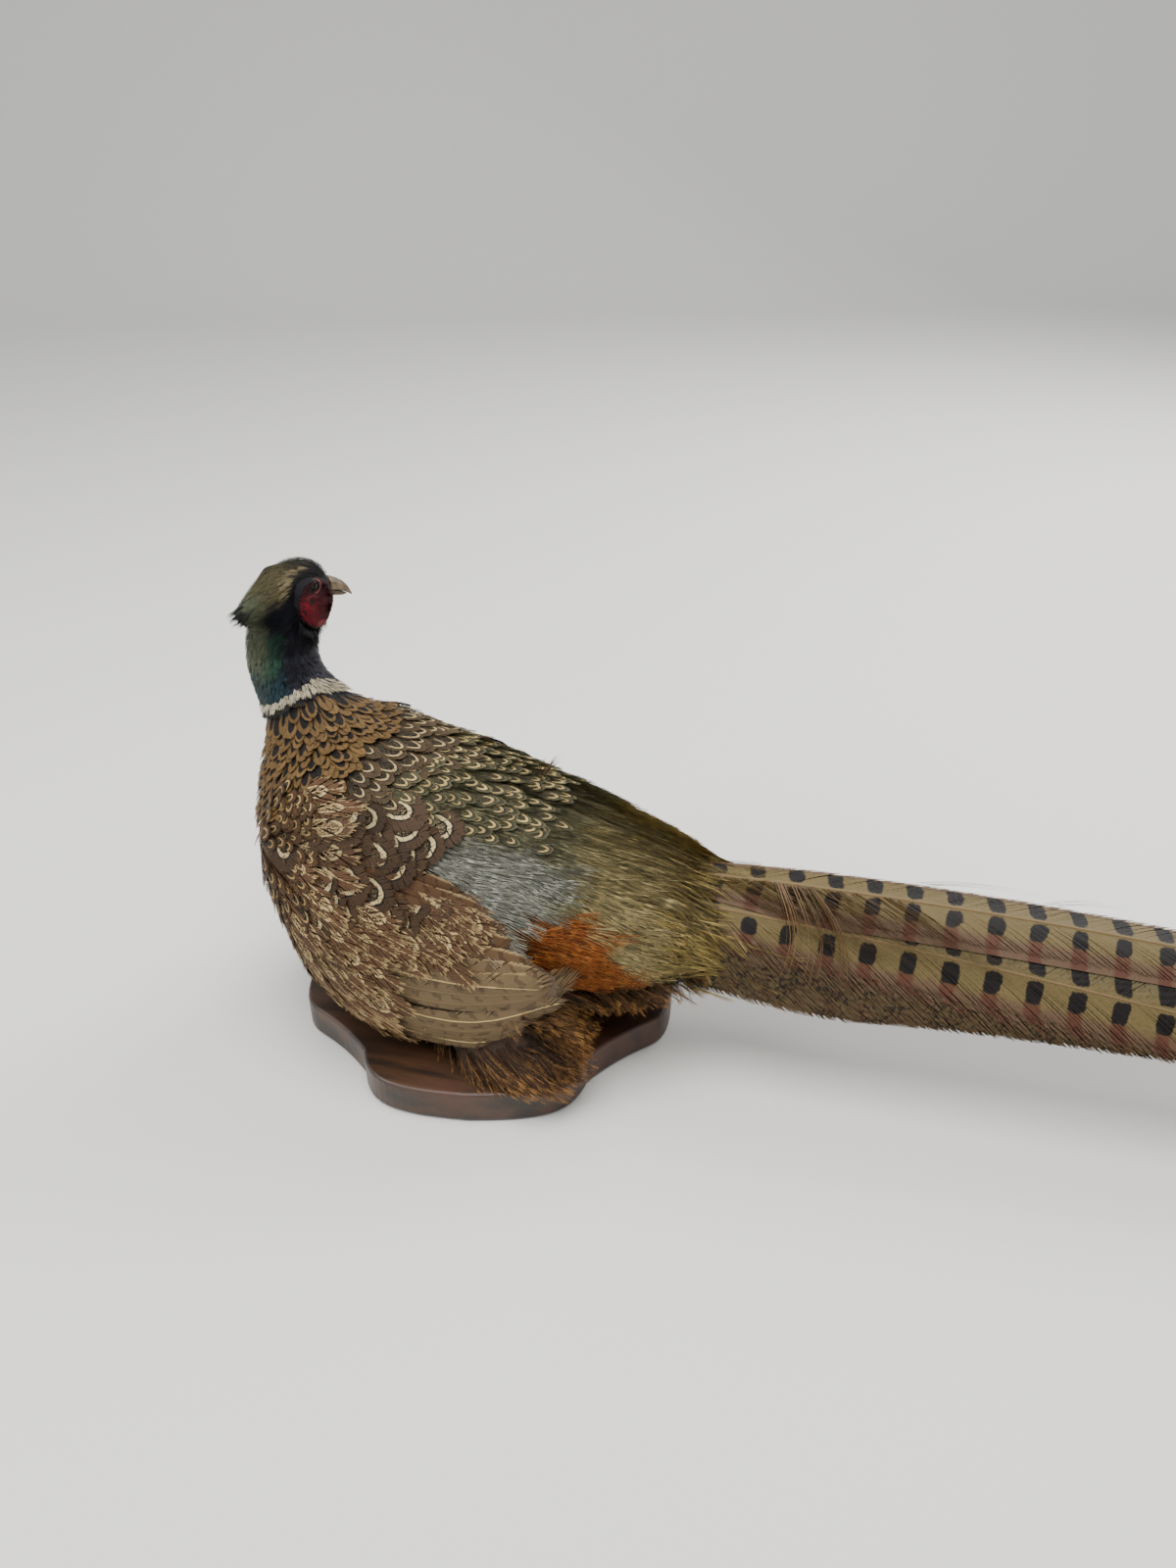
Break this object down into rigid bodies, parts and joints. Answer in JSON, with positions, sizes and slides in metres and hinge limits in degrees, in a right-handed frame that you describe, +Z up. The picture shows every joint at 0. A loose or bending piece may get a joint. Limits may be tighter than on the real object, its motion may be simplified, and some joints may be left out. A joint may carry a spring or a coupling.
{
  "type": "taxidermy pheasant",
  "caption": "Life-size mounted cock pheasant, crouched on a lobed wooden board, head turned back over the right shoulder, long pointed tail straight out behind.",
  "frame": {"origin": "centre of the board's flat underside, where the mount stands", "axes": "+Z up; -X is the way the bird's body faces and +X runs along the tail to its tip; +Y is the bird's right"},
  "size_m": [0.734, 0.223, 0.2779],
  "materials": {
    "board_wood": "dark stained and varnished",
    "body_plumage": "soft barred feathers",
    "neck_plumage": "glossy blue-black feathers",
    "head_plumage": "short bronze-green feathers",
    "wattle_skin": "velvety bare red skin",
    "bill_horn": "pale smooth horn",
    "eye_glass": "polished dark glass eye",
    "wing_coverts": "soft barred feathers",
    "flight_feathers": "smooth stiff feathers",
    "flank_plumage": "loose hair-like feathers",
    "leg_scale": "dry horny scales",
    "tail_feathers": "smooth stiff barred feathers"
  },
  "bodies": {
    "root": {"base_board": "board_wood", "trunk": "body_plumage", "neck": "neck_plumage", "head": "head_plumage", "bill_upper": "bill_horn", "bill_lower": "bill_horn", "wattle_left": "wattle_skin", "eye_left": "eye_glass", "wing_left": "wing_coverts", "wing_left_flight": "flight_feathers", "thigh_left": "flank_plumage", "tarsus_left": "leg_scale", "foot_left": "leg_scale", "wattle_right": "wattle_skin", "eye_right": "eye_glass", "wing_right": "wing_coverts", "wing_right_flight": "flight_feathers", "thigh_right": "flank_plumage", "tarsus_right": "leg_scale", "foot_right": "leg_scale", "tail_feather_left_1": "tail_feathers", "tail_feather_left_2": "tail_feathers", "tail_feather_left_3": "tail_feathers", "tail_feather_left_4": "tail_feathers", "tail_feather_left_5": "tail_feathers", "tail_feather_left_6": "tail_feathers", "tail_feather_left_7": "tail_feathers", "tail_feather_left_8": "tail_feathers", "tail_feather_left_9": "tail_feathers", "tail_feather_right_1": "tail_feathers", "tail_feather_right_2": "tail_feathers", "tail_feather_right_3": "tail_feathers", "tail_feather_right_4": "tail_feathers", "tail_feather_right_5": "tail_feathers", "tail_feather_right_6": "tail_feathers", "tail_feather_right_7": "tail_feathers", "tail_feather_right_8": "tail_feathers", "tail_feather_right_9": "tail_feathers"}
  },
  "joints": []
}
